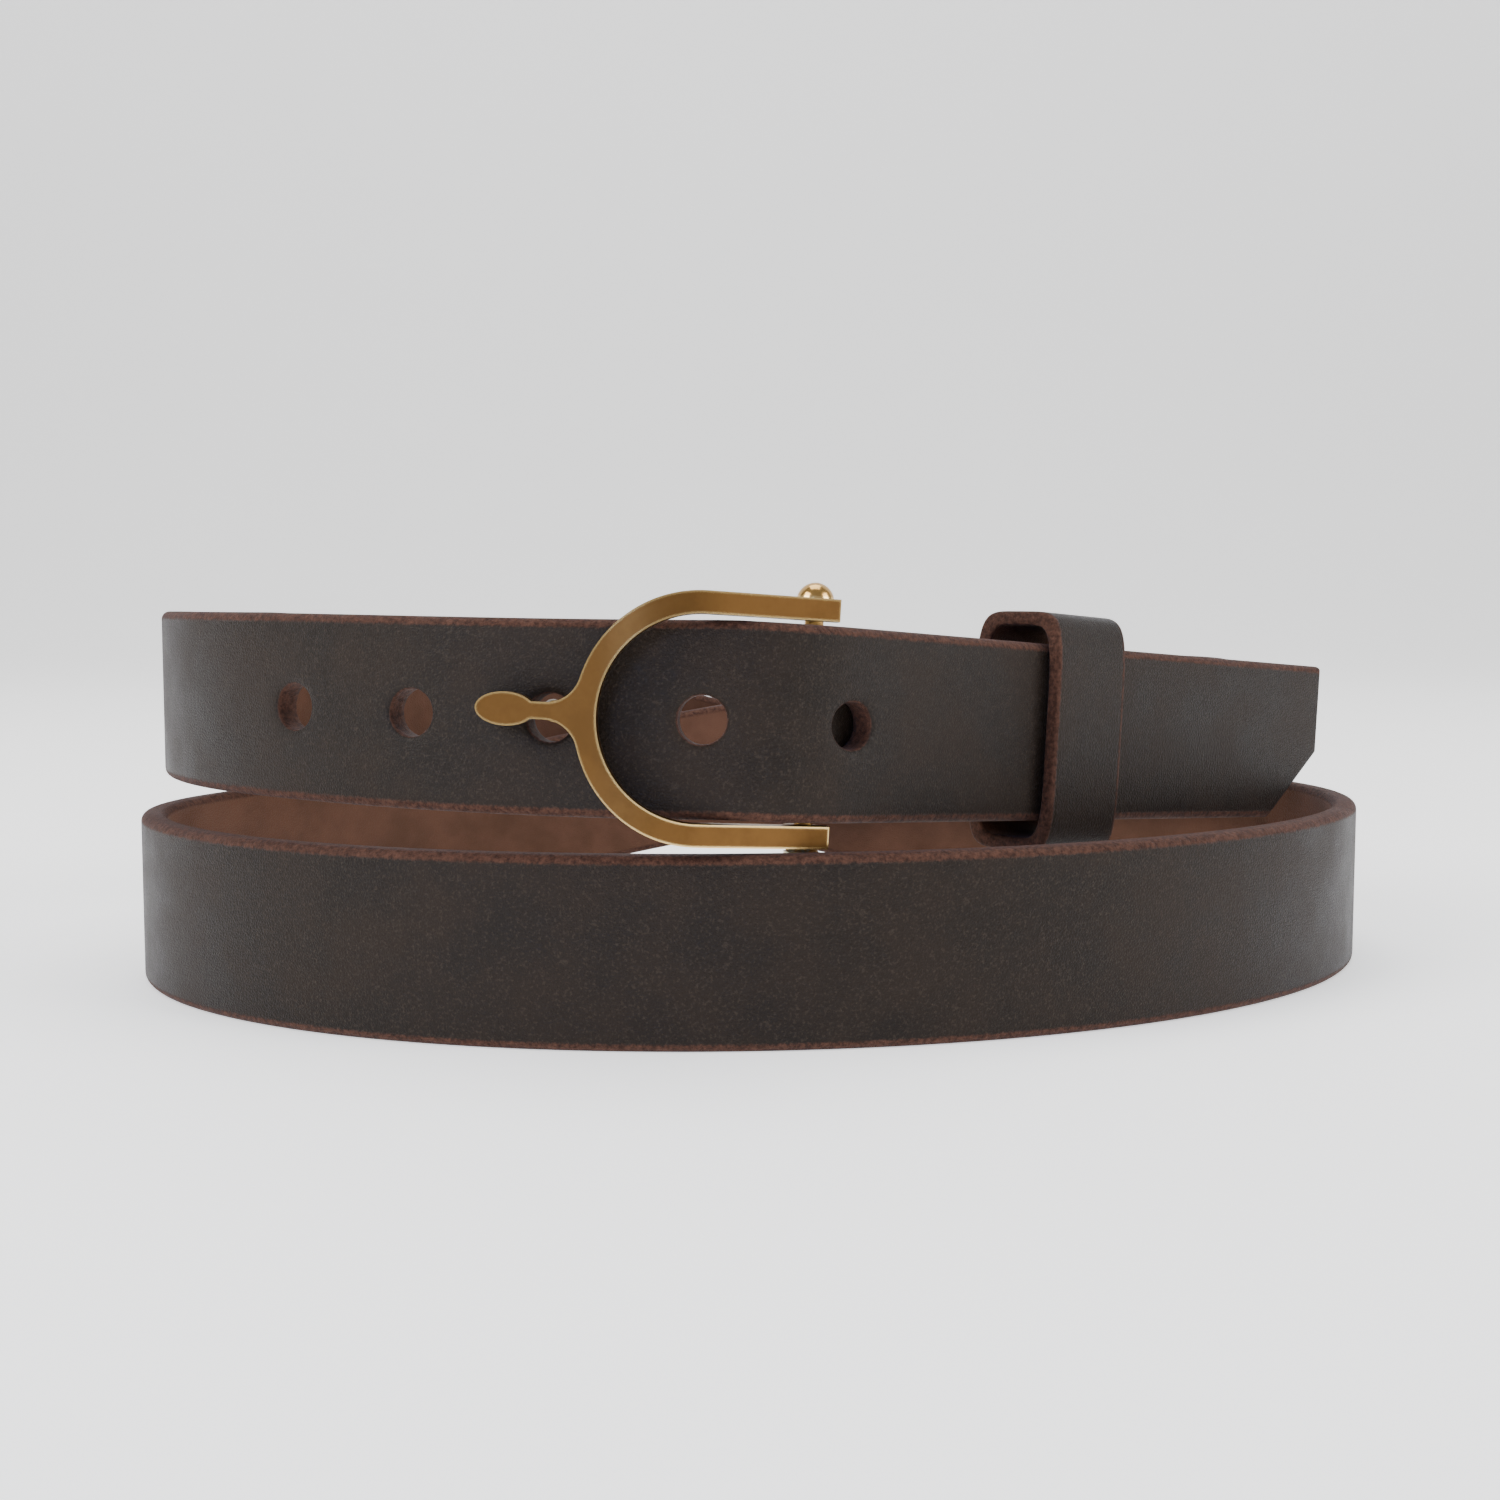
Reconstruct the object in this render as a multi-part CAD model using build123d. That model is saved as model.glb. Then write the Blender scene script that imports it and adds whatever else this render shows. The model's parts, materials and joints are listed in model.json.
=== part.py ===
from build123d import *
import os
from math import atan2, cos, degrees, hypot, pi, radians, sin, sqrt, tan

import numpy as np

# A leather belt coiled in two turns and buckled with a brass spur buckle.
# Millimetres, +Z up. The coil stands on its edge, the buckle faces -Y, and the origin is
# the middle of the footprint on the surface that the belt stands on.

# ---- strap ----
strap_width = 25.4
strap_thickness = 3.8
edge_bevel = 1.0              # cut off each long corner of the strap
ring_half_length = 97.9       # outer face of the lower turn, an ellipse in plan
ring_half_depth = 70.0
ring_turn = 10.0              # degrees that the lower turn is swung, right end back
top_turn_half_length = 95.8   # outer face of the upper turn
top_turn_half_depth = 70.2
top_turn_swing = 0.0
standing_flat = 0.05          # skimmed off the lower turn's foot, so that it stands on a plane
turn_gap = 2.2                # between the two nested turns at the back
top_turn_lift = 29.6          # underside of the upper turn above the surface
climb_crest = 0.9             # the upper turn rises this much more at the left, then falls again
crest_fall = 0.7
tip_heading = 42.0            # degrees from +X, direction of the straight tip run
tip_fall = 4.1                # degrees that the tip run slopes down
tip_run = 109.0               # straight length past the bend over the hinge
bend_start = 267.0            # degrees round the coil where the strap leaves the ellipse
bend_radius = 22.0            # middle of the leather, over the hinge pin
bend_past_pin = 2.5           # how far past the pin the bend ends
tip_clip_length = 12.5        # cut-off lower corner of the tip, along the strap
tip_clip_height = 10.5

# ---- adjustment holes ----
hole_diameter = 6.3
hole_spacing = 19.5
hole_count = 5
last_hole_to_bend_end = 1.0
buckled_hole = 2              # counted from the first hole, starting at 0

# ---- turned-back end round the hinge pin ----
fold_thickness = 1.5
tail_thickness = 2.0
layer_gap = 0.25
tip_gap = 0.5                 # between the tip run and the leather behind it
fold_taper_length = 8.0
tail_length = 70.0
billet_straight = 74.0
pin_running_clearance = 0.08

# ---- buckle ----
pin_radius = 1.25
pin_fit = 0.02
eye_radius = 2.6
lug_width = 2.7
frame_gap = 26.4              # between the arms where the bow begins
arm_splay = 0.15              # each arm is this much further out at the pin
arm_width = 2.9
frame_thickness = 3.2
arm_past_pin = 3.3
bow_centre = 13.7             # pin to the centre of the bow
tongue_reach = 42.6           # pin to the tip of the tongue
bulb_from_tip = 3.9
bulb_radius = 2.15
neck_width = 2.2
neck_fillet = 4.5
lug_depth = 3.0               # arms' middle plane in front of the pin
arm_slope = 29.6              # degrees that the arms rise towards the viewer
tongue_slope = 15.0           # degrees that the tongue drops back again
arch_corner = 19.0            # pin to the corner between the two slopes
arch_radius = 20.0
stud_radius = 1.4
stud_past_leather = 0.8
knob_radius = 2.5
knob_neck_radius = 2.15
knob_height = 2.1
knob_collar = 0.7
knob_grip = 0.9               # pin length inside each knob

# ---- keeper ----
keeper_width = 15.5
keeper_leather = 2.0
keeper_from_pin = 46.8        # pin to the middle of the keeper
keeper_half_height = 15.3     # inside, across the strap
keeper_side_room = 0.75       # inside, in front of and behind the layers
keeper_squareness = 5.5
staple_wire = 0.5
staple_length = 9.0

# ---- screws that hold the turned-back end ----
screw_from_pin = (19.0, 64.0)
post_radius = 2.2
post_bore_radius = 1.3
screw_fit = 0.02
screw_head_radius = 4.0
screw_head_height = 0.9
screw_slot_width = 0.9
screw_slot_depth = 0.45
screw_hole_clearance = 0.1

half_width = strap_width / 2
half_thick = strap_thickness / 2


def smooth(value, start, end):
    share = min(max((value - start) / (end - start), 0.0), 1.0)
    return share * share * (3 - 2 * share)


def mix(first, second, share):
    return first + (second - first) * share


# ---------------------------------------------------------------- the strap's route
# Angles run counter-clockwise seen from above: 180 is the left end and 270 the front.
# The route starts at the hinge pin, comes down inside the coil to the surface, makes the
# lower turn, climbs behind it and ends as the tip run in front of the hinge.
descent_end = 135.0
outward_end = 185.0
ring_end = 360.0
climb_start = 400.0
climb_end = 520.0
join_angle = 55.0
join_pull = 42.0
join_drop = 0.35               # share of its height that the billet loses before it joins the ellipse


def coil_point(angle):
    upper = smooth(angle, ring_end + 20.0, ring_end + 160.0)
    inset = (strap_thickness + turn_gap) * (1 - smooth(angle, descent_end, outward_end))
    length = mix(ring_half_length, top_turn_half_length, upper) - half_thick - inset
    depth = mix(ring_half_depth, top_turn_half_depth, upper) - half_thick - inset
    swing = radians(mix(ring_turn, top_turn_swing, upper))
    x = length * cos(radians(angle))
    y = depth * sin(radians(angle))
    return np.array([x * cos(swing) - y * sin(swing), x * sin(swing) + y * cos(swing)])


def direction(heading):
    return np.array([cos(radians(heading)), sin(radians(heading))])


def outward(heading):
    return np.array([sin(radians(heading)), -cos(radians(heading))])


bend_first = coil_point(360.0 + bend_start)
bend_step = bend_first - coil_point(360.0 + bend_start - 0.2)
bend_heading = degrees(atan2(bend_step[1], bend_step[0]))
bend_hub = bend_first - bend_radius * outward(bend_heading)
bend_last = bend_hub + bend_radius * outward(tip_heading)

pin_gap = pin_radius + pin_running_clearance
fold_outer = pin_gap + fold_thickness
billet_middle = fold_outer - half_thick
tip_middle = fold_outer + tip_gap + half_thick
pin_plan = bend_last - bend_past_pin * direction(tip_heading) - tip_middle * outward(tip_heading)
tail_face = billet_middle - half_thick - layer_gap
tail_back = tail_face - tail_thickness

tip_slope = -tan(radians(tip_fall))
bend_base = top_turn_lift + climb_crest - crest_fall
tip_base = bend_base + tip_slope * float(np.dot(bend_last - bend_first, direction(tip_heading)))


def billet_height(along):
    """Underside of the straight leather, at a plan distance past the pin."""
    return tip_base + tip_slope * (along - bend_past_pin)


def route():
    """Plan place, underside height and lean of the strap's middle line, in order."""
    stations = []
    ahead = direction(tip_heading)
    start = pin_plan + billet_middle * outward(tip_heading)
    for along in np.linspace(fold_taper_length, billet_straight, 14) * cos(radians(tip_fall)):
        stations.append((start + along * ahead, billet_height(along), 0.0))
    last = stations[-1][0]
    target = coil_point(join_angle)
    step = coil_point(join_angle + 0.2) - target
    pull_out = last + join_pull * ahead
    pull_in = target - join_pull * step / np.linalg.norm(step)
    high = stations[-1][1]
    for share in np.linspace(0, 1, 27)[1:]:
        rest = 1 - share
        place = rest**3 * last + 3 * rest**2 * share * pull_out
        place = place + 3 * rest * share**2 * pull_in + share**3 * target
        early = tip_slope * join_pull * 1.6 * share * rest**2
        stations.append((place, high * (1 - join_drop * smooth(share, 0, 1.35)) + early, 0.0))
    joined = stations[-1][1]
    drop_rate = 14 * (stations[-2][1] - joined)
    for angle in np.arange(join_angle + 2.5, ring_end + 0.1, 2.5):
        share = (angle - join_angle) / (descent_end + 12 - join_angle)
        rest = max(1 - share, 0.0)
        height = (joined * (1 + 2 * share) - drop_rate * share) * rest**2
        stations.append((coil_point(angle), height, 0.0))
    for angle in np.arange(ring_end + 2.5, 360.0 + bend_start - 0.5, 2.5):
        height = top_turn_lift * smooth(angle, climb_start, climb_end)
        height += climb_crest * smooth(angle, climb_end - 30.0, climb_end + 50.0)
        height -= crest_fall * smooth(angle, climb_end + 60.0, 360.0 + bend_start)
        lean = smooth(angle, climb_end + 30.0, 360.0 + bend_start)
        stations.append((coil_point(angle), height, lean))
    for share in np.linspace(0, 1, 9):
        heading = mix(bend_heading, tip_heading, share)
        plan = bend_hub + bend_radius * outward(heading)
        fall = tip_slope * float(np.dot(plan - bend_first, direction(tip_heading)))
        stations.append((plan, bend_base + fall, 1.0))
    for along in np.linspace(0, tip_run, 14)[1:]:
        plan = bend_last + along * direction(tip_heading)
        stations.append((plan, tip_base + tip_slope * along, 1.0))
    return stations


def unit(vector):
    return vector / np.linalg.norm(vector)


tip_ahead = unit(np.array([*direction(tip_heading), tip_slope]))
hinge_axis = unit(np.array([0, 0, 1.0]) - tip_ahead[2] * tip_ahead)
tip_out = np.cross(tip_ahead, hinge_axis)
pin_centre = np.array([*pin_plan, billet_height(0.0) + half_width])


def framed_route():
    stations = route()
    places = []
    for plan, height, lean in stations:
        places.append(np.array([plan[0], plan[1], height + half_width]))
    places = np.array(places)
    ahead = np.gradient(places, axis=0)
    framed = []
    for place, step, station in zip(places, ahead, stations):
        forward = unit(step)
        up = np.array([0, 0, 1.0]) + station[2] * (hinge_axis - np.array([0, 0, 1.0]))
        up = unit(up - np.dot(up, forward) * forward)
        framed.append((place, forward, up))
    return framed


def local_plane(place, forward, up):
    """A plane across the strap: x outward through the thickness, y up the width."""
    out = np.cross(forward, up)
    return Plane(origin=tuple(place), x_dir=tuple(out), z_dir=tuple(forward))


def hinge_point(along, out, up=0.0):
    """A point in the straight leather's own axes, measured from the middle of the pin."""
    place = pin_centre + along * tip_ahead + out * tip_out + up * hinge_axis
    return tuple(place)


def hinge_plane(along, out, up=0.0):
    """Same axes as a work plane: x along the strap, y across it, z outward."""
    return Plane(origin=hinge_point(along, out, up), x_dir=tuple(tip_ahead), z_dir=tuple(tip_out))


def hinge_side_plane():
    """Looks along the pin: x along the strap, y towards the inside, z up the pin."""
    return Plane(origin=tuple(pin_centre), x_dir=tuple(tip_ahead), z_dir=tuple(hinge_axis))


def fold_outline():
    front = fold_outer
    back = billet_middle - half_thick
    taper = fold_taper_length
    with BuildSketch() as sketch:
        with BuildLine():
            Polyline((taper, -front), (0, -front))
            ThreePointArc((0, -front), (-fold_outer, 0), (0, fold_outer))
            Polyline((0, fold_outer), (taper, -tail_back), (tail_length, -tail_back),
                     (tail_length, -tail_face), (taper, -tail_face), (0, pin_gap))
            ThreePointArc((0, pin_gap), (-pin_gap, 0), (0, -pin_gap))
            Polyline((0, -pin_gap), (pin_gap, -pin_gap), (taper, -back), (taper, -front))
        make_face()
    return sketch.sketch


def hole_stations(framed):
    """Place and frame of each punched hole, first hole first, along the upper turn."""
    places = np.array([entry[0] for entry in framed])
    steps = np.linalg.norm(np.diff(places, axis=0), axis=1)
    length = np.concatenate([[0], np.cumsum(steps)])
    bend_end_length = length[-1] - tip_run / cos(radians(tip_fall))
    stations = []
    for number in range(hole_count):
        wanted = bend_end_length - last_hole_to_bend_end - (hole_count - 1 - number) * hole_spacing
        index = int(np.searchsorted(length, wanted)) - 1
        share = (wanted - length[index]) / steps[index]
        place = mix(places[index], places[index + 1], share)
        forward = unit(mix(framed[index][1], framed[index + 1][1], share))
        up = mix(framed[index][2], framed[index + 1][2], share)
        stations.append((place, forward, unit(up - np.dot(up, forward) * forward)))
    return stations


def make_strap(framed):
    section = Rectangle(strap_thickness, strap_width)
    section = chamfer(section.vertices(), edge_bevel)
    sections = [local_plane(*entry) * section for entry in framed]
    body = loft(sections)
    fold = extrude(hinge_side_plane() * fold_outline(), amount=half_width, both=True)
    body = body + fold
    for place, forward, up in hole_stations(framed):
        out = np.cross(forward, up)
        punch = Plane(origin=tuple(place), x_dir=tuple(forward), z_dir=tuple(out))
        body = body - punch * Cylinder(hole_diameter / 2, 3 * strap_thickness)
    for along in screw_from_pin:
        bore = hinge_plane(along, (fold_outer + tail_back) / 2)
        length = fold_outer - tail_back + tip_gap
        body = body - bore * Cylinder(post_radius + screw_hole_clearance, length)
        recess = hinge_plane(along, fold_outer - screw_head_height / 2 + tip_gap / 4)
        room = screw_head_height + tip_gap / 2
        body = body - recess * Cylinder(screw_head_radius + 2 * screw_hole_clearance, room)
    place, forward, up = framed[-1]
    out = np.cross(forward, up)
    end = Plane(origin=tuple(place), x_dir=tuple(forward), z_dir=tuple(out))
    grade = tip_clip_height / tip_clip_length
    clip = Polygon((1, -half_width - 1), (1, -half_width + tip_clip_height + grade),
                   (-tip_clip_length - 1 / grade, -half_width - 1), align=None)
    body = body - extrude(end * clip, amount=2 * strap_thickness, both=True)
    below = Box(4 * ring_half_length, 4 * ring_half_depth, strap_width,
                align=(Align.CENTER, Align.CENTER, Align.MAX))
    return body - Pos(0, 0, standing_flat) * below


def frame_plane():
    """The buckle's own axes: x towards the arms' ends, y away from the viewer, z up the pin."""
    side = np.array([1.0, 0, 0])
    side = unit(side - np.dot(side, hinge_axis) * hinge_axis)
    return Plane(origin=tuple(pin_centre), x_dir=tuple(side), z_dir=tuple(hinge_axis))


def arch_slab():
    """Side view of the frame, seen along the pin: straight arms bent into the tongue."""
    rise = tan(radians(arm_slope))
    drop = tan(radians(tongue_slope))
    past = 2 * arm_past_pin
    beyond = tongue_reach + 5
    corner_depth = lug_depth + arch_corner * rise
    bend = FilletPolyline((past, -(lug_depth - past * rise)), (-arch_corner, -corner_depth),
                          (-beyond, -(corner_depth - (beyond - arch_corner) * drop)),
                          radius=arch_radius)
    return trace(bend, line_width=frame_thickness)


def frame_outline():
    """Front view of the buckle: x as in frame_plane, y up the pin."""
    inner = frame_gap / 2
    outer = inner + arm_width
    tip = -tongue_reach
    bulb = tip + bulb_from_tip
    with BuildSketch() as sketch:
        with Locations((-bow_centre, 0)):
            Circle(outer)
        with BuildLine():
            top = Line((-bow_centre, outer), (arm_past_pin, outer + arm_splay))
            end = Line(top @ 1, (arm_past_pin, -outer - arm_splay))
            low = Line(end @ 1, (-bow_centre, -outer))
            Line(low @ 1, top @ 0)
        make_face()
        neck_end = -bow_centre - outer + 1
        with Locations(((neck_end + bulb) / 2, 0)):
            Rectangle(neck_end - bulb, neck_width)
        flare = neck_fillet
        root = -bow_centre - sqrt((outer + flare)**2 - (neck_width / 2 + flare)**2)
        touch = outer / (outer + flare)
        with BuildLine():
            corner = (root, neck_width / 2 + flare)
            meet = (-bow_centre + (root + bow_centre) * touch, corner[1] * touch)
            Polyline((root, -neck_width / 2), (root, neck_width / 2), meet, (-bow_centre, 0),
                     (meet[0], -meet[1]), (root, -neck_width / 2))
        make_face()
        with Locations((root, corner[1]), (root, -corner[1])):
            Circle(flare, mode=Mode.SUBTRACT)
        with Locations((bulb, 0)):
            Ellipse(bulb_from_tip, bulb_radius)
        with Locations((-bow_centre, 0)):
            Circle(inner, mode=Mode.SUBTRACT)
        with BuildLine():
            beyond = arm_past_pin + 1
            Polyline((-bow_centre, inner), (beyond, inner + arm_splay), (beyond, -inner - arm_splay),
                     (-bow_centre, -inner), (-bow_centre, inner))
        make_face(mode=Mode.SUBTRACT)
    return sketch.sketch


def make_stud(framed):
    """The stud behind the neck, square to its swing, through the buckled hole."""
    place = hole_stations(framed)[buckled_hole][0]
    hole = frame_plane().to_local_coords(Vector(*place))
    radius = hypot(hole.X, hole.Y)
    swing = Vector(-hole.Y / radius, hole.X / radius, 0)
    neck_depth = lug_depth + arch_corner * tan(radians(arm_slope))
    neck_depth -= (-hole.X - arch_corner) * tan(radians(tongue_slope))
    inside = half_thick + stud_past_leather
    length = (neck_depth + hole.Y) / -swing.Y + inside
    start = Plane(origin=tuple(Vector(hole.X, hole.Y, 0) - swing * inside), z_dir=tuple(swing))
    return start * Pos(0, 0, length / 2) * Cylinder(stud_radius, length)


def make_buckle_frame(framed):
    plane = frame_plane()
    front = Plane(origin=plane.origin, x_dir=plane.x_dir, z_dir=-plane.y_dir)
    outline = extrude(front * frame_outline(), amount=30, both=True)
    slab = extrude(plane * arch_slab(), amount=30, both=True)
    frame = outline & slab
    frame = max(frame.solids(), key=lambda solid: solid.volume)
    eye_middle = frame_gap / 2 + arm_splay + arm_width / 2
    for side in (1, -1):
        lug = Cylinder(eye_radius, lug_width)
        web = Pos(0, -lug_depth / 2, 0) * Box(2 * eye_radius, lug_depth, lug_width)
        frame = frame + plane * Pos(0, 0, side * eye_middle) * (lug + web)
    frame = frame - plane * Cylinder(pin_radius + pin_fit, 60)
    return frame + plane * make_stud(framed)


def make_hinge_pin():
    reach = frame_gap / 2 + arm_splay + arm_width + knob_grip
    return frame_plane() * Cylinder(pin_radius, 2 * reach)


def make_knob(side, collar):
    """A domed end on the pin, standing on the outside of an arm."""
    foot = frame_gap / 2 + arm_splay + arm_width
    below = Box(3 * knob_radius, 3 * knob_radius, 3 * knob_radius,
                align=(Align.CENTER, Align.CENTER, Align.MAX))
    cap = Sphere(knob_radius) - Pos(0, 0, knob_radius - knob_height) * below
    knob = Pos(0, 0, collar + knob_height - knob_radius) * cap
    knob = knob + Pos(0, 0, collar / 2) * Cylinder(knob_neck_radius, collar)
    knob = knob - Cylinder(pin_radius + pin_fit, 2 * (knob_grip + pin_fit))
    place = frame_plane() * Pos(0, 0, side * foot)
    if side < 0:
        place = place * Rot(180, 0, 0)
    return place * knob


keeper_back = tail_back - keeper_side_room
keeper_front = tip_middle + half_thick + keeper_side_room
keeper_middle = (keeper_back + keeper_front) / 2
keeper_half_depth = (keeper_front - keeper_back) / 2


def loop_outline(half_depth, half_height, count=40):
    """Rounded box seen along the strap: a superellipse through evenly turned points."""
    power = 2 / keeper_squareness
    points = []
    for angle in np.linspace(0, 2 * pi, count, endpoint=False):
        depth = abs(cos(angle))**power * half_depth * np.sign(cos(angle))
        height = abs(sin(angle))**power * half_height * np.sign(sin(angle))
        points.append((float(depth), float(height)))
    return points


def make_keeper():
    across = Plane(origin=hinge_point(keeper_from_pin - keeper_width / 2, keeper_middle),
                   x_dir=tuple(tip_out), z_dir=tuple(tip_ahead))
    loops = []
    for extra in (keeper_leather, 0.0):
        points = loop_outline(keeper_half_depth + extra, keeper_half_height + extra)
        face = make_face(Spline(*points, periodic=True))
        loops.append(extrude(across * face, amount=keeper_width))
    return loops[0] - loops[1]


def make_keeper_staple():
    """A wire staple through the joint at the back of the keeper, lying flat outside it."""
    outside = keeper_back - keeper_leather
    middle = hinge_plane(keeper_from_pin, outside - staple_wire / 2)
    return middle * Box(staple_length, 2 * staple_wire, staple_wire)


def make_screw_post(along):
    """The flat-headed post, its head let into the front of the leather."""
    floor = fold_outer - screw_head_height
    head = Cylinder(screw_head_radius, screw_head_height)
    head = hinge_plane(along, floor + screw_head_height / 2) * head
    barrel_length = floor - tail_back - screw_fit
    barrel = hinge_plane(along, floor - barrel_length / 2) * Cylinder(post_radius, barrel_length)
    bore = hinge_plane(along, floor - barrel_length / 2) * Cylinder(post_bore_radius, barrel_length)
    return head + barrel - bore


def make_binding_screw(along):
    """The slotted screw from behind, its head on the turned-back end."""
    head = Cylinder(screw_head_radius, screw_head_height)
    head = hinge_plane(along, tail_back - screw_head_height / 2) * head
    shank_length = 0.8 * (fold_outer - screw_head_height - tail_back)
    shank = Cylinder(post_bore_radius - screw_fit, shank_length)
    shank = hinge_plane(along, tail_back + shank_length / 2) * shank
    slot = hinge_plane(along, tail_back - screw_head_height + screw_slot_depth / 2)
    return head + shank - slot * Box(2.2 * screw_head_radius, screw_slot_width, screw_slot_depth)


def make_pieces():
    framed = framed_route()
    pieces = {
        "strap": make_strap(framed),
        "buckle_frame": make_buckle_frame(framed),
        "hinge_pin": make_hinge_pin(),
        "upper_knob": make_knob(1, 0.1),
        "lower_knob": make_knob(-1, knob_collar),
        "keeper": make_keeper(),
        "keeper_staple": make_keeper_staple(),
    }
    for number, along in enumerate(screw_from_pin, start=1):
        pieces[f"screw_post_{number}"] = make_screw_post(along)
        pieces[f"binding_screw_{number}"] = make_binding_screw(along)
    return pieces


def stand_on_origin(pieces):
    """Moves everything so that the origin is the middle of the footprint."""
    boxes = [piece.bounding_box() for piece in pieces.values()]
    left, right = min(box.min.X for box in boxes), max(box.max.X for box in boxes)
    front, back = min(box.min.Y for box in boxes), max(box.max.Y for box in boxes)
    shift = Vector(-(left + right) / 2, -(front + back) / 2, -min(box.min.Z for box in boxes))
    return {name: Pos(shift) * piece for name, piece in pieces.items()}, shift


os.makedirs("parts", exist_ok=True)
pieces, shift = stand_on_origin(make_pieces())
for name, piece in pieces.items():
    export_step(piece, f"parts/{name}.step")

hinge = Vector(*pin_centre) + shift
print("hinge pin middle (mm):", [round(value, 3) for value in hinge])
print("hinge axis:", [round(float(value), 5) for value in hinge_axis])
print("keeper slides along:", [round(float(value), 5) for value in tip_ahead])
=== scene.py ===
import json
import math

import bmesh
import bpy
import numpy as np
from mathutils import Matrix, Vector


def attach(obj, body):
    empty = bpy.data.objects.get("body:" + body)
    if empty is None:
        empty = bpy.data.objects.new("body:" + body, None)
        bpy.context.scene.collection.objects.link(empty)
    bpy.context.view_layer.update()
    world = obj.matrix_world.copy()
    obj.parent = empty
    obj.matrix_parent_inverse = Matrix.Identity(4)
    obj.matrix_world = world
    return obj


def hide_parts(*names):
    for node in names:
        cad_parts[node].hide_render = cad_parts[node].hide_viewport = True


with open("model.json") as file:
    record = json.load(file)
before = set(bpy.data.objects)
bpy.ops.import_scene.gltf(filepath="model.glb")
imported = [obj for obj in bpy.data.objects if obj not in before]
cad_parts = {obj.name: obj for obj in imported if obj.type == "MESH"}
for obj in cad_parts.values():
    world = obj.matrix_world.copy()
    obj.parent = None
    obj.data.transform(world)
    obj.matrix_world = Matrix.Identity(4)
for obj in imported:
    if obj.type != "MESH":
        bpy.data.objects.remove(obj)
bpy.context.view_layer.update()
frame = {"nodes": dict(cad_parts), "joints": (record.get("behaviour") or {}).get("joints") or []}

# A coiled leather belt with a brass spur buckle. The strap and the keeper are new meshes, and
# the brass and steel parts are the CAD nodes with eased edges. Sizes are in millimetres and
# become metres when a mesh is made.
MM = 0.001

# ---- strap ----
strap_width = 25.4
strap_thickness = 3.8
ring_half_length = 97.9
ring_half_depth = 70.0
ring_turn = 10.0
top_turn_half_length = 95.8
top_turn_half_depth = 70.2
top_turn_swing = 0.0
turn_gap = 2.2
top_turn_lift = 29.6
climb_crest = 0.9
crest_fall = 0.7
tip_heading = 42.0
tip_fall = 4.1
tip_run = 109.0
bend_start = 267.0
bend_radius = 22.0
bend_past_pin = 2.5
tip_clip_length = 12.5
tip_clip_height = 10.5
hole_diameter = 6.3
hole_spacing = 19.5
hole_count = 5
last_hole_to_bend_end = 1.0

# ---- turned-back end ----
fold_thickness = 1.5
tail_thickness = 2.0
layer_gap = 0.25
tip_gap = 0.5
fold_taper_length = 8.0
tail_length = 70.0
billet_straight = 74.0
pin_running_clearance = 0.08
pin_radius = 1.25

# ---- keeper ----
keeper_width = 15.5
keeper_leather = 2.0
keeper_from_pin = 46.8
keeper_half_height = 15.3
keeper_side_room = 0.75
keeper_squareness = 5.5

half_width = strap_width / 2
half_thick = strap_thickness / 2


def smooth(value, start, end):
    share = min(max((value - start) / (end - start), 0.0), 1.0)
    return share * share * (3 - 2 * share)


def mix(first, second, share):
    return first + (second - first) * share


def unit(vector):
    return vector / np.linalg.norm(vector)


# ---------------------------------------------------------------- the strap's route
descent_end = 135.0
outward_end = 185.0
ring_end = 360.0
climb_start = 400.0
climb_end = 520.0
join_angle = 55.0
join_pull = 42.0
join_drop = 0.35


def coil_point(angle):
    upper = smooth(angle, ring_end + 20.0, ring_end + 160.0)
    inset = (strap_thickness + turn_gap) * (1 - smooth(angle, descent_end, outward_end))
    length = mix(ring_half_length, top_turn_half_length, upper) - half_thick - inset
    depth = mix(ring_half_depth, top_turn_half_depth, upper) - half_thick - inset
    swing = math.radians(mix(ring_turn, top_turn_swing, upper))
    x = length * math.cos(math.radians(angle))
    y = depth * math.sin(math.radians(angle))
    return np.array([x * math.cos(swing) - y * math.sin(swing), x * math.sin(swing) + y * math.cos(swing)])


def direction(heading):
    return np.array([math.cos(math.radians(heading)), math.sin(math.radians(heading))])


def outward(heading):
    return np.array([math.sin(math.radians(heading)), -math.cos(math.radians(heading))])


bend_first = coil_point(360.0 + bend_start)
bend_step = bend_first - coil_point(360.0 + bend_start - 0.2)
bend_heading = math.degrees(math.atan2(bend_step[1], bend_step[0]))
bend_hub = bend_first - bend_radius * outward(bend_heading)
bend_last = bend_hub + bend_radius * outward(tip_heading)

pin_gap = pin_radius + pin_running_clearance
fold_outer = pin_gap + fold_thickness
billet_middle = fold_outer - half_thick
tip_middle = fold_outer + tip_gap + half_thick
pin_plan = bend_last - bend_past_pin * direction(tip_heading) - tip_middle * outward(tip_heading)
tail_face = billet_middle - half_thick - layer_gap
tail_back = tail_face - tail_thickness

tip_slope = -math.tan(math.radians(tip_fall))
bend_base = top_turn_lift + climb_crest - crest_fall
tip_base = bend_base + tip_slope * float(np.dot(bend_last - bend_first, direction(tip_heading)))
tip_ahead = unit(np.array([*direction(tip_heading), tip_slope]))
hinge_axis = unit(np.array([0, 0, 1.0]) - tip_ahead[2] * tip_ahead)
tip_out = np.cross(tip_ahead, hinge_axis)


def billet_height(along):
    return tip_base + tip_slope * (along - bend_past_pin)


pin_centre = np.array([*pin_plan, billet_height(0.0) + half_width])
hinge = next(joint for joint in frame["joints"] if joint["name"] == "buckle_swing")
shift = np.array(hinge["pos_m"]) / MM - pin_centre      # the coil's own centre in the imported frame


def hinge_point(along, out, up=0.0):
    return pin_centre + along * tip_ahead + out * tip_out + up * hinge_axis


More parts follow.
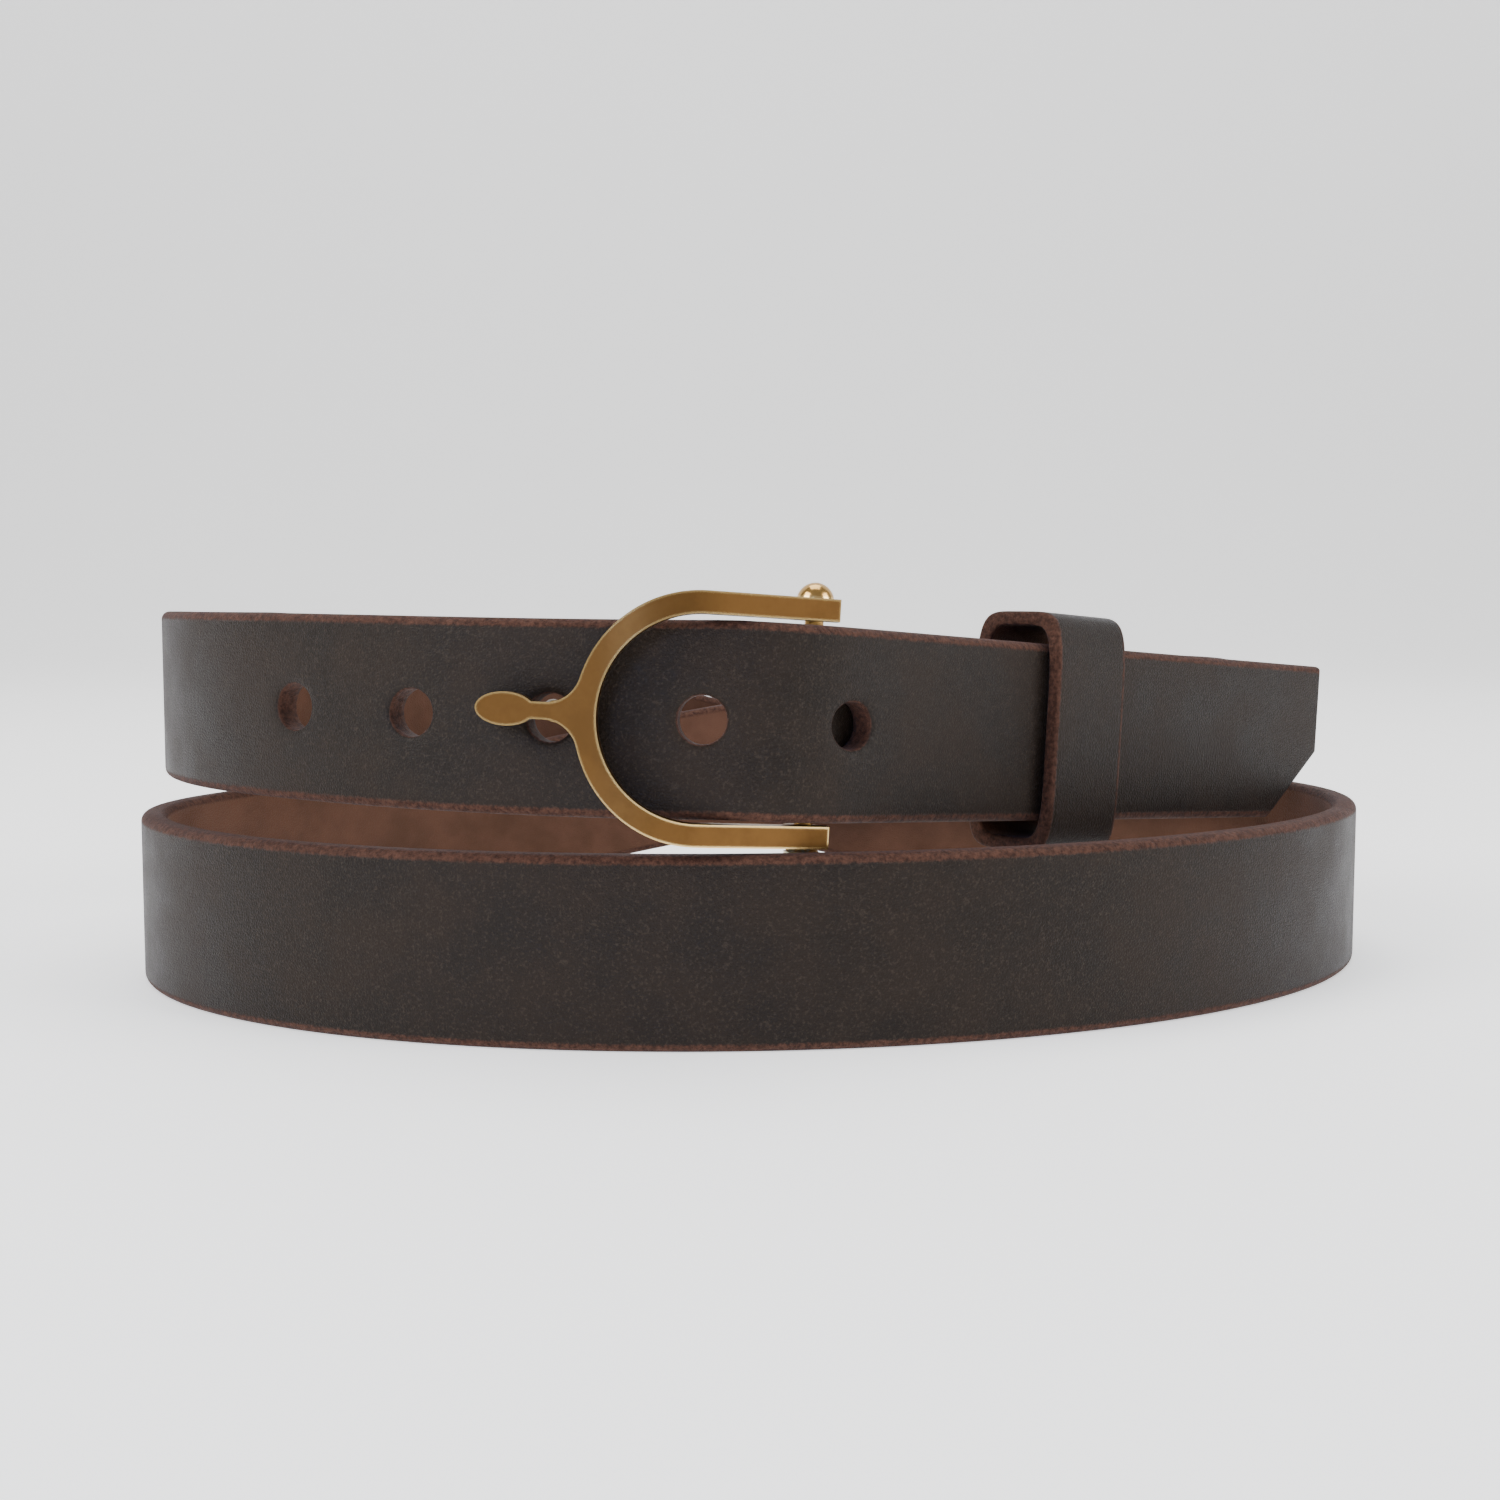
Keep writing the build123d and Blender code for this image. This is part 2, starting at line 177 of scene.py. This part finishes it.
def coil_route():
    """Places of the strap's middle line from the billet's bend to the end of the tip, and its lean."""
    stations = []
    ahead = direction(tip_heading)
    start = pin_plan + billet_middle * outward(tip_heading)
    for along in np.linspace(fold_taper_length, billet_straight, 60) * math.cos(math.radians(tip_fall)):
        stations.append((start + along * ahead, billet_height(along), 0.0))
    last = stations[-1][0]
    target = coil_point(join_angle)
    step = coil_point(join_angle + 0.2) - target
    pull_out = last + join_pull * ahead
    pull_in = target - join_pull * unit(step)
    high = stations[-1][1]
    for share in np.linspace(0, 1, 131)[1:]:
        rest = 1 - share
        place = rest**3 * last + 3 * rest**2 * share * pull_out
        place = place + 3 * rest * share**2 * pull_in + share**3 * target
        early = tip_slope * join_pull * 1.6 * share * rest**2
        stations.append((place, high * (1 - join_drop * smooth(share, 0, 1.35)) + early, 0.0))
    joined = stations[-1][1]
    before = stations[-6][1] - joined
    for angle in np.arange(join_angle + 0.5, ring_end + 0.1, 0.5):
        share = (angle - join_angle) / (descent_end + 12 - join_angle)
        rest = max(1 - share, 0.0)
        height = joined * rest * rest * (1 + 2 * share) - before * 14 * share * rest * rest
        stations.append((coil_point(angle), height, 0.0))
    for angle in np.arange(ring_end + 0.5, 360.0 + bend_start - 0.25, 0.5):
        height = top_turn_lift * smooth(angle, climb_start, climb_end)
        height += climb_crest * smooth(angle, climb_end - 30, climb_end + 50)
        height -= crest_fall * smooth(angle, climb_end + 60, 360 + bend_start)
        stations.append((coil_point(angle), height, smooth(angle, climb_end + 30, 360 + bend_start)))
    for share in np.linspace(0, 1, 41):
        plan = bend_hub + bend_radius * outward(mix(bend_heading, tip_heading, share))
        fall = tip_slope * float(np.dot(plan - bend_first, direction(tip_heading)))
        stations.append((plan, bend_base + fall, 1.0))
    for along in np.linspace(0, tip_run, 110)[1:]:
        stations.append((bend_last + along * direction(tip_heading), tip_base + tip_slope * along, 1.0))
    places = np.array([[plan[0], plan[1], height + half_width] for plan, height, lean in stations])
    return places, np.array([lean for plan, height, lean in stations])


def fold_route():
    """Middle line and thickness of the turned-back end, from its loose end round the pin to the billet."""
    places = []
    thick = []
    middle = (tail_face + tail_back) / 2
    bend = pin_gap + fold_thickness / 2
    for along in np.linspace(tail_length, fold_taper_length, 50):
        places.append(hinge_point(along, middle))
        thick.append(tail_thickness)
    for share in np.linspace(0, 1, 9)[1:-1]:
        places.append(hinge_point(mix(fold_taper_length, 0, share), mix(middle, -bend, smooth(share, 0, 1))))
        thick.append(mix(tail_thickness, fold_thickness, share))
    for turn in np.linspace(-90, -270, 25):
        places.append(hinge_point(bend * math.cos(math.radians(turn)), bend * math.sin(math.radians(turn))))
        thick.append(fold_thickness)
    for share in np.linspace(0, 1, 9)[1:-1]:
        places.append(hinge_point(mix(0, fold_taper_length, share), mix(bend, billet_middle, share)))
        thick.append(mix(fold_thickness, strap_thickness, share))
    return places, thick


class Band:
    """A strip of leather: a middle line with the direction up its width and its thickness at each place."""

    def __init__(self, places, ups, thick):
        self.places = np.array(places)
        steps = np.linalg.norm(np.diff(self.places, axis=0), axis=1)
        self.length = np.concatenate([[0.0], np.cumsum(steps)])
        forward = np.gradient(self.places, self.length, axis=0)
        forward /= np.linalg.norm(forward, axis=1)[:, None]
        ups = np.array(ups)
        ups = ups - np.sum(ups * forward, axis=1)[:, None] * forward
        self.ups = ups / np.linalg.norm(ups, axis=1)[:, None]
        self.outs = np.cross(forward, self.ups)
        self.thick = np.array(thick)

    def at(self, values, along):
        return np.array([np.interp(along, self.length, values[:, axis]) for axis in range(3)]).T

    def point(self, along, across, depth):
        """Place of a point: along the line, up the width, and out through the thickness (-1 to 1)."""
        half = np.interp(along, self.length, self.thick) / 2
        return (self.at(self.places, along) + np.multiply(self.at(self.ups, along).T, across).T
                + np.multiply(self.at(self.outs, along).T, depth * half).T)


def strap_band():
    fold_places, fold_thick = fold_route()
    coil_places, lean = coil_route()
    up = np.array([0, 0, 1.0])
    ups = [hinge_axis] * len(fold_places) + [up + share * (hinge_axis - up) for share in lean]
    thick = fold_thick + [strap_thickness] * len(coil_places)
    return Band(fold_places + list(coil_places), ups, thick)


# ---------------------------------------------------------------- mesh helpers
def new_object(name, verts, faces, values):
    """An object from points in mm, with one named number per point for each entry of values."""
    mesh = bpy.data.meshes.new(name)
    moved = np.array(verts) + shift
    moved[:, 2] = np.maximum(moved[:, 2], 0.0)      # the foot is skimmed flat
    mesh.from_pydata([tuple(point * MM) for point in moved], [], faces)
    for label, numbers in values.items():
        layer = mesh.attributes.new(label, "FLOAT", "POINT")
        layer.data.foreach_set("value", np.array(numbers, dtype=np.float32))
    mesh.validate()
    thing = bpy.data.objects.new(name, mesh)
    bpy.context.scene.collection.objects.link(thing)
    return thing


def tidy_mesh(thing, sharp=35.0):
    mesh = thing.data
    shape = bmesh.new()
    shape.from_mesh(mesh)
    bmesh.ops.remove_doubles(shape, verts=shape.verts, dist=0.002 * MM)
    bmesh.ops.recalc_face_normals(shape, faces=shape.faces)
    shape.to_mesh(mesh)
    shape.free()
    mesh.shade_smooth()
    mesh.set_sharp_from_angle(angle=math.radians(sharp))


def edge_profile(width, rounding):
    """Half of a strip's section from the middle of the front to the middle of the back: (across, depth)."""
    flat = width / 2 - rounding
    points = []
    for share in np.linspace(0, 1, 7):
        turn = math.radians(90 * share)
        points.append((flat + rounding * math.sin(turn), 1 - 0.62 * (1 - math.cos(turn))))
    back = [(across, -depth) for across, depth in reversed(points)]
    return points + back


patch_half = 8.0
patch_steps = 8
edge_rounding = 1.25


def band_lines():
    inner = list(np.linspace(-patch_half, patch_half, patch_steps + 1))
    edge = edge_profile(strap_width, edge_rounding)
    side = [mix(patch_half, edge[0][0], 0.5)]
    front = [(-value, 1.0) for value in reversed(side)] + [(value, 1.0) for value in inner]
    front += [(value, 1.0) for value in side]
    right = edge
    back = [(across, -depth) for across, depth in reversed(front)]
    left = [(-across, -depth) for across, depth in edge]
    return front + right + back + left


def make_strap(band):
    total = band.length[-1]
    bend_end = total - tip_run / math.cos(math.radians(tip_fall))
    holes = [bend_end - last_hole_to_bend_end - number * hole_spacing for number in range(hole_count)][::-1]
    fold_end = tail_length + fold_taper_length + 12
    stops = list(np.arange(0, tail_length - 3, 2.5))
    stops += list(np.arange(tail_length - 3, fold_end, 0.6))
    position = stops[-1] + 1.5
    blocked = [(hole - patch_half, hole + patch_half) for hole in holes]
    while position < holes[0] - patch_half - 0.8:
        stops.append(position)
        position += 1.8
    for hole in holes:
        stops += list(np.linspace(hole - patch_half, hole + patch_half, patch_steps + 1))
        stops.append(hole + hole_spacing / 2)
    after = stops[-1] + 1.6
    stops += list(np.linspace(after, total - tip_clip_length - 1.5, 42))
    lines = band_lines()
    count = len(lines)
    verts = []
    marks = {"along": [], "across": [], "depth": [], "hole": []}

    def add(along, across, depth, hole=0.0, sink=0.0):
        half = float(np.interp(along, band.length, band.thick)) / 2
        verts.append(band.point(np.array([along]), across, depth - sink / half)[0])
        marks["along"].append(along)
        marks["across"].append(across)
        marks["depth"].append(depth)
        marks["hole"].append(hole)
        return len(verts) - 1

    grid = [[add(stop, across, depth) for across, depth in lines] for stop in stops]
    faces = []
    first_inner = lines.index((-patch_half, 1.0))
    back_inner = lines.index((patch_half, -1.0))

    def in_patch(row, column):
        middle = (stops[row] + stops[row + 1]) / 2
        if not any(low < middle < high for low, high in blocked):
            return False
        front = first_inner <= column < first_inner + patch_steps
        return front or back_inner <= column < back_inner + patch_steps

    for row in range(len(stops) - 1):
        for column in range(count):
            if in_patch(row, column):
                continue
            after_column = (column + 1) % count
            faces.append((grid[row][column], grid[row + 1][column],
                          grid[row + 1][after_column], grid[row][after_column]))

    radius = hole_diameter / 2
    for hole in holes:
        first_row = next(i for i, stop in enumerate(stops) if abs(stop - (hole - patch_half)) < 1e-6)
        mouths = []
        for side, start in ((1, first_inner), (-1, back_inner)):
            def corner(row, column):
                return grid[first_row + row][start + column]

            ring = [corner(k, 0) for k in range(patch_steps)]
            ring += [corner(patch_steps, k) for k in range(patch_steps)]
            ring += [corner(patch_steps - k, patch_steps) for k in range(patch_steps)]
            ring += [corner(0, patch_steps - k) for k in range(patch_steps)]
            places = [(marks["along"][index] - hole, marks["across"][index]) for index in ring]
            previous = ring
            lip = [(5.6, -0.02), (4.7, -0.03), (4.0, 0.03), (3.6, 0.12), (3.35, 0.26), (radius + 0.04, 0.48)]
            for step, (reach, sink) in enumerate(lip):
                current = []
                drawn_in = sink if side > 0 else -0.6 * sink
                for x, y in places:
                    turn = math.atan2(y, x)
                    distance = mix(math.hypot(x, y), reach, 1.0 if step else 0.8)
                    current.append(add(hole + distance * math.cos(turn), distance * math.sin(turn), side,
                                       hole=(step + 1) / len(lip), sink=drawn_in))
                for k in range(len(ring)):
                    after_k = (k + 1) % len(ring)
                    faces.append((previous[k], previous[after_k], current[after_k], current[k]))
                previous = current
            mouths.append((previous, places))
        (front, places), (back, back_places) = mouths
        order = []
        for x, y in places:
            turn = math.atan2(y, x)
            gaps = [abs(math.remainder(math.atan2(by, bx) - turn, 2 * math.pi)) for bx, by in back_places]
            order.append(back[int(np.argmin(gaps))])
        previous = front
        for level in (0.5, 0.2, -0.1, -0.4):
            current = []
            for x, y in places:
                turn = math.atan2(y, x)
                current.append(add(hole + radius * math.cos(turn), radius * math.sin(turn), level, hole=1.0))
            for k in range(len(front)):
                after_k = (k + 1) % len(front)
                faces.append((previous[k], previous[after_k], current[after_k], current[k]))
            previous = current
        for k in range(len(front)):
            after_k = (k + 1) % len(front)
            faces.append((previous[k], previous[after_k], order[after_k], order[k]))

    faces.append(tuple(grid[0]))
    end_rows = 10
    previous = grid[-1]
    for row in range(1, end_rows + 1):
        share = row / end_rows
        current = []
        for across, depth in lines:
            reach_low = total - tip_clip_length
            along = mix(stops[-1], total, share)
            limit = -half_width + max(0.0, (along - reach_low) / tip_clip_length) * tip_clip_height
            scaled = mix(limit, half_width, (across + half_width) / strap_width)
            current.append(add(along, scaled, depth))
        for column in range(count):
            after_column = (column + 1) % count
            faces.append((previous[column], current[column], current[after_column], previous[after_column]))
        previous = current
    faces.append(tuple(reversed(previous)))
    strap = new_object("strap_leather_band", verts, faces, marks)
    tidy_mesh(strap, 50)
    return strap


keeper_back = tail_back - keeper_side_room
keeper_front = tip_middle + half_thick + keeper_side_room
keeper_middle = (keeper_back + keeper_front) / 2
keeper_half_depth = (keeper_front - keeper_back) / 2


def loop_place(turn, extra):
    power = 2 / keeper_squareness
    out = math.copysign(abs(math.cos(turn))**power * (keeper_half_depth + extra), math.cos(turn))
    up = math.copysign(abs(math.sin(turn))**power * (keeper_half_height + extra), math.sin(turn))
    return out, up


def make_keeper():
    """The leather loop: its section, with rounded corners, carried round a rounded box."""
    ease = 0.45
    side = keeper_width / 2
    section = []
    corners = ((side - ease, keeper_leather - ease, 0), (-side + ease, keeper_leather - ease, 90),
               (-side + ease, ease, 180), (side - ease, ease, 270))
    for along, extra, start in corners:
        for share in (0, 30, 60, 90):
            turn = math.radians(start + share)
            section.append((along + ease * math.cos(turn), extra + ease * math.sin(turn)))
        if start == 0:
            section += [(value, keeper_leather) for value in np.linspace(side - 1.5, -side + 1.5, 9)]
        if start == 180:
            section += [(value, 0.0) for value in np.linspace(-side + 1.5, side - 1.5, 9)]
    turns = []
    for quarter in range(4):
        for share in np.linspace(0, 1, 40, endpoint=False):
            turns.append(math.pi / 2 * (quarter + mix(share, smooth(share, 0, 1), 0.4)))
    verts, faces = [], []
    marks = {"along": [], "across": [], "depth": [], "hole": []}
    for turn in turns:
        for along, extra in section:
            out, up = loop_place(turn, extra)
            verts.append(hinge_point(keeper_from_pin + along, keeper_middle + out, up))
            marks["along"].append(turn * 12)
            marks["across"].append(along)
            marks["depth"].append(2 * extra / keeper_leather - 1)
            marks["hole"].append(0.0)
    count = len(section)
    for ring in range(len(turns)):
        after = (ring + 1) % len(turns)
        for column in range(count):
            after_column = (column + 1) % count
            faces.append((ring * count + column, after * count + column,
                          after * count + after_column, ring * count + after_column))
    loop = new_object("keeper_leather_loop", verts, faces, marks)
    tidy_mesh(loop, 50)
    return loop


# ---------------------------------------------------------------- keeper and buckle
def bevelled(name, width, segments):
    """The node's own shape with its edges eased."""
    thing = frame["nodes"][name]
    ease = thing.modifiers.new("eased_edges", "BEVEL")
    ease.width = width
    ease.segments = segments
    ease.limit_method = "ANGLE"
    ease.angle_limit = math.radians(35)
    ease.harden_normals = True
    return thing


# ---------------------------------------------------------------- materials
class Graph:
    def __init__(self, name):
        self.material = bpy.data.materials.new(name)
        self.material.use_nodes = True
        self.nodes = self.material.node_tree.nodes
        self.links = self.material.node_tree.links
        self.shader = self.nodes["Principled BSDF"]

    def add(self, kind, **settings):
        node = self.nodes.new(kind)
        for key, value in settings.items():
            setattr(node, key, value)
        return node

    def feed(self, node, socket, value):
        target = node.inputs[socket]
        if hasattr(value, "is_output"):
            self.links.new(value, target)
        else:
            target.default_value = value

    def value(self, operation, first, second=0.0, clamp=False):
        node = self.add("ShaderNodeMath", operation=operation, use_clamp=clamp)
        self.feed(node, 0, first)
        self.feed(node, 1, second)
        return node.outputs[0]

    def ranged(self, value, low, high, new_low=0.0, new_high=1.0):
        node = self.add("ShaderNodeMapRange", interpolation_type="SMOOTHSTEP")
        for socket, number in zip(("Value", "From Min", "From Max", "To Min", "To Max"),
                                  (value, low, high, new_low, new_high)):
            self.feed(node, socket, number)
        return node.outputs[0]

    def mixed(self, share, first, second, blend="MIX"):
        node = self.add("ShaderNodeMix", data_type="RGBA", blend_type=blend)
        self.feed(node, 0, share)
        self.feed(node, 6, first)
        self.feed(node, 7, second)
        return node.outputs[2]

    def mixed_value(self, share, first, second):
        node = self.add("ShaderNodeMix", data_type="FLOAT")
        self.feed(node, 0, share)
        self.feed(node, 2, first)
        self.feed(node, 3, second)
        return node.outputs[0]

    def noise(self, place, scale, detail=4.0, roughness=0.55):
        node = self.add("ShaderNodeTexNoise")
        self.links.new(place, node.inputs["Vector"])
        for socket, number in (("Scale", scale), ("Detail", detail), ("Roughness", roughness)):
            node.inputs[socket].default_value = number
        return node.outputs[0]

    def pores(self, place, scale):
        node = self.add("ShaderNodeTexVoronoi", feature="DISTANCE_TO_EDGE")
        self.links.new(place, node.inputs["Vector"])
        node.inputs["Scale"].default_value = scale
        return node.outputs[0]

    def named(self, label):
        return self.add("ShaderNodeAttribute", attribute_name=label).outputs["Fac"]

    def place(self):
        return self.add("ShaderNodeTexCoord").outputs["Object"]

    def bump(self, height, strength, distance, base=None):
        node = self.add("ShaderNodeBump")
        node.inputs["Strength"].default_value = strength
        node.inputs["Distance"].default_value = distance
        self.links.new(height, node.inputs["Height"])
        if base is not None:
            self.links.new(base, node.inputs["Normal"])
        return node.outputs[0]


def colour(red, green, blue):
    return (red, green, blue, 1.0)


def leather(name, strip):
    """Waxed leather: dark grain face, brown bevelled edges and a smooth brown flesh side."""
    graph = Graph(name)
    place = graph.place()
    mottle = graph.noise(place, 90.0, 6.0, 0.6)
    speck = graph.noise(place, 2600.0, 3.0, 0.6)
    fibre = graph.noise(place, 1500.0, 5.0, 0.7)
    grain = graph.pores(place, 2400.0)
    dark = graph.mixed(graph.ranged(mottle, 0.35, 0.65),
                       colour(0.0085, 0.0050, 0.0030), colour(0.0140, 0.0080, 0.0046))
    dark = graph.mixed(graph.ranged(speck, 0.50, 0.70, 0.0, 0.6), dark, colour(0.036, 0.025, 0.017))
    edge = graph.mixed(graph.ranged(fibre, 0.3, 0.7),
                       colour(0.024, 0.009, 0.0052), colour(0.085, 0.037, 0.023))
    flesh = graph.mixed(graph.ranged(mottle, 0.3, 0.7),
                        colour(0.062, 0.026, 0.013), colour(0.095, 0.042, 0.024))
    depth = graph.named("depth")
    rim = graph.value("ABSOLUTE", graph.named("across"))
    ragged = graph.value("MULTIPLY", graph.value("SUBTRACT", fibre, 0.5), 0.7)
    if strip:
        worn = graph.ranged(graph.value("ADD", rim, ragged), half_width - 1.35, half_width - 0.85)
    else:
        worn = graph.ranged(graph.value("ADD", rim, ragged), keeper_width / 2 - 0.9, keeper_width / 2 - 0.4)
    mouth = graph.value("ADD", graph.named("hole"), graph.value("MULTIPLY", ragged, 0.2))
    hole = graph.ranged(mouth, 0.8, 0.97)
    worn = graph.value("MAXIMUM", worn, hole)
    back = graph.ranged(depth, -0.75, -0.95)
    face = graph.mixed(back, dark, flesh)
    base = graph.mixed(worn, face, edge)
    graph.feed(graph.shader, "Base Color", base)
    rough = graph.ranged(mottle, 0.3, 0.7, 0.40, 0.52)
    graph.feed(graph.shader, "Roughness", graph.value("ADD", rough, graph.value("MULTIPLY", worn, 0.3), True))
    graph.shader.inputs["Specular IOR Level"].default_value = 0.16
    # Faint sheen on the grain face, tinted blue: the blue is a painted reflection of a cool light, not a
    # colour of the leather itself.
    graph.shader.inputs["Sheen Weight"].default_value = 0.035
    graph.shader.inputs["Sheen Roughness"].default_value = 0.45
    graph.shader.inputs["Sheen Tint"].default_value = colour(0.75, 0.82, 1.0)
    fine = graph.bump(graph.ranged(grain, 0.0, 0.3), 0.45, 0.00010)
    fine = graph.bump(speck, 0.35, 0.00007, fine)
    fuzz = graph.value("MULTIPLY", fibre, graph.ranged(worn, 0.0, 1.0, 0.15, 1.0))
    fine = graph.bump(fuzz, 0.6, 0.0003, fine)
    graph.feed(graph.shader, "Normal", graph.bump(graph.noise(place, 25.0, 3.0), 0.3, 0.0006, fine))
    return graph.material


def brass(name, face, polished, satin=0.34, verdigris=False):
    graph = Graph(name)
    place = graph.place()
    cloud = graph.noise(place, 160.0, 5.0, 0.6)
    scratch = graph.noise(place, 1800.0, 3.0, 0.6)
    eased = graph.add("ShaderNodeBevel", samples=6)
    eased.inputs["Radius"].default_value = 0.55 * MM
    turned = graph.add("ShaderNodeVectorMath", operation="DOT_PRODUCT")
    graph.links.new(eased.outputs[0], turned.inputs[0])
    graph.links.new(graph.add("ShaderNodeNewGeometry").outputs["Normal"], turned.inputs[1])
    edges = graph.ranged(turned.outputs["Value"], 0.995, 0.95)
    tone = graph.mixed(graph.ranged(cloud, 0.35, 0.7), face, colour(*[0.72 * part for part in face[:3]]))
    tone = graph.mixed(edges, tone, polished)
    if verdigris:
        crust = graph.ranged(graph.noise(place, 900.0, 4.0, 0.7), 0.42, 0.6)
        tone = graph.mixed(graph.value("MULTIPLY", crust, 0.8), tone, colour(0.28, 0.36, 0.30))
    graph.feed(graph.shader, "Base Color", tone)
    graph.shader.inputs["Metallic"].default_value = 1.0
    worn_satin = graph.ranged(cloud, 0.3, 0.7, satin - 0.05, satin + 0.08)
    graph.feed(graph.shader, "Roughness", graph.mixed_value(edges, worn_satin, 0.16))
    graph.feed(graph.shader, "Normal", graph.bump(scratch, 0.12, 0.00004))
    return graph.material


band = strap_band()
strap = make_strap(band)
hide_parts("strap")
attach(strap, "belt")

strap_look = leather("strap_leather_look", True)
strap.data.materials.append(strap_look)
keeper = make_keeper()
keeper.data.materials.append(leather("keeper_leather_look", False))
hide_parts("keeper")
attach(keeper, "keeper_loop")

satin_brass = brass("satin_brass", colour(0.150, 0.076, 0.024), colour(0.84, 0.60, 0.26), 0.36)
bright_brass = brass("bright_brass", colour(0.55, 0.33, 0.11), colour(0.85, 0.6, 0.27), 0.2)
aged_brass = brass("aged_brass", colour(0.5, 0.3, 0.11), colour(0.9, 0.7, 0.4), 0.28, True)
steel = brass("steel", colour(0.5, 0.5, 0.52), colour(0.7, 0.7, 0.72), 0.3)
finishes = {"buckle_frame": (satin_brass, 0.45), "hinge_pin": (bright_brass, 0.1),
            "upper_knob": (bright_brass, 0.1), "lower_knob": (aged_brass, 0.1), "keeper_staple": (steel, 0.1)}
for number in (1, 2):
    finishes[f"screw_post_{number}"] = (bright_brass, 0.15)
    finishes[f"binding_screw_{number}"] = (bright_brass, 0.15)
for name, (look, ease) in finishes.items():
    thing = bevelled(name, ease * MM, 3)
    thing.data.materials.clear()
    thing.data.materials.append(look)

# ---------------------------------------------------------------- stage, camera and light
floor_mesh = bpy.data.meshes.new("floor")
sweep = [(-3.0, 0.0), (1.2, 0.0)]
for turn in range(10, 91, 10):
    sweep.append((1.2 + 0.8 * math.sin(math.radians(turn)), 0.8 - 0.8 * math.cos(math.radians(turn))))
sweep.append((2.0, 5.0))
floor_mesh.from_pydata([(x, y, z) for y, z in sweep for x in (-4.0, 4.0)], [],
                       [(2 * k, 2 * k + 1, 2 * k + 3, 2 * k + 2) for k in range(len(sweep) - 1)])
floor_mesh.shade_smooth()
floor = bpy.data.objects.new("floor", floor_mesh)
bpy.context.scene.collection.objects.link(floor)
paper = Graph("pale_paper")
paper_tone = paper.noise(paper.place(), 6.0, 2.0)
paper_shade = paper.mixed(paper_tone, colour(0.93, 0.93, 0.93), colour(0.97, 0.97, 0.97))
paper.feed(paper.shader, "Base Color", paper_shade)
paper.shader.inputs["Roughness"].default_value = 0.8
paper.shader.inputs["Emission Color"].default_value = colour(1.0, 1.0, 1.0)
paper.shader.inputs["Emission Strength"].default_value = 0.6
floor_mesh.materials.append(paper.material)

camera_data = bpy.data.cameras.new("camera")
camera_data.sensor_width = 36
camera_data.lens = 44.93
camera = bpy.data.objects.new("camera", camera_data)
camera.location = (-0.00272, -0.30356, 0.0585)
camera.rotation_euler = (math.radians(90 - 4.78), 0, 0)
bpy.context.scene.collection.objects.link(camera)
bpy.context.scene.camera = camera


def soft_light(name, place, power, size, tint):
    data = bpy.data.lights.new(name, "AREA")
    data.energy = power
    data.size = size
    data.color = tint
    lamp = bpy.data.objects.new(name, data)
    lamp.location = place
    lamp.rotation_euler = (Vector((0, 0, 0.03)) - lamp.location).to_track_quat("-Z", "Y").to_euler()
    bpy.context.scene.collection.objects.link(lamp)


soft_light("key", (-0.9, -0.5, 0.7), 13.0, 0.7, (1.0, 0.98, 0.95))
soft_light("fill", (0.95, -0.35, 0.55), 9.0, 0.6, (1.0, 0.98, 0.96))
soft_light("front_sky", (-0.22, -0.9, 0.35), 3.0, 0.25, (0.45, 0.6, 1.0))
soft_light("overhead", (0.0, 0.2, 1.2), 9.0, 0.8, (1.0, 1.0, 1.0))
world = bpy.data.worlds.new("world")
world.use_nodes = True
world.node_tree.nodes["Background"].inputs[0].default_value = colour(1.0, 1.0, 1.0)
world.node_tree.nodes["Background"].inputs[1].default_value = 0.42
bpy.context.scene.world = world
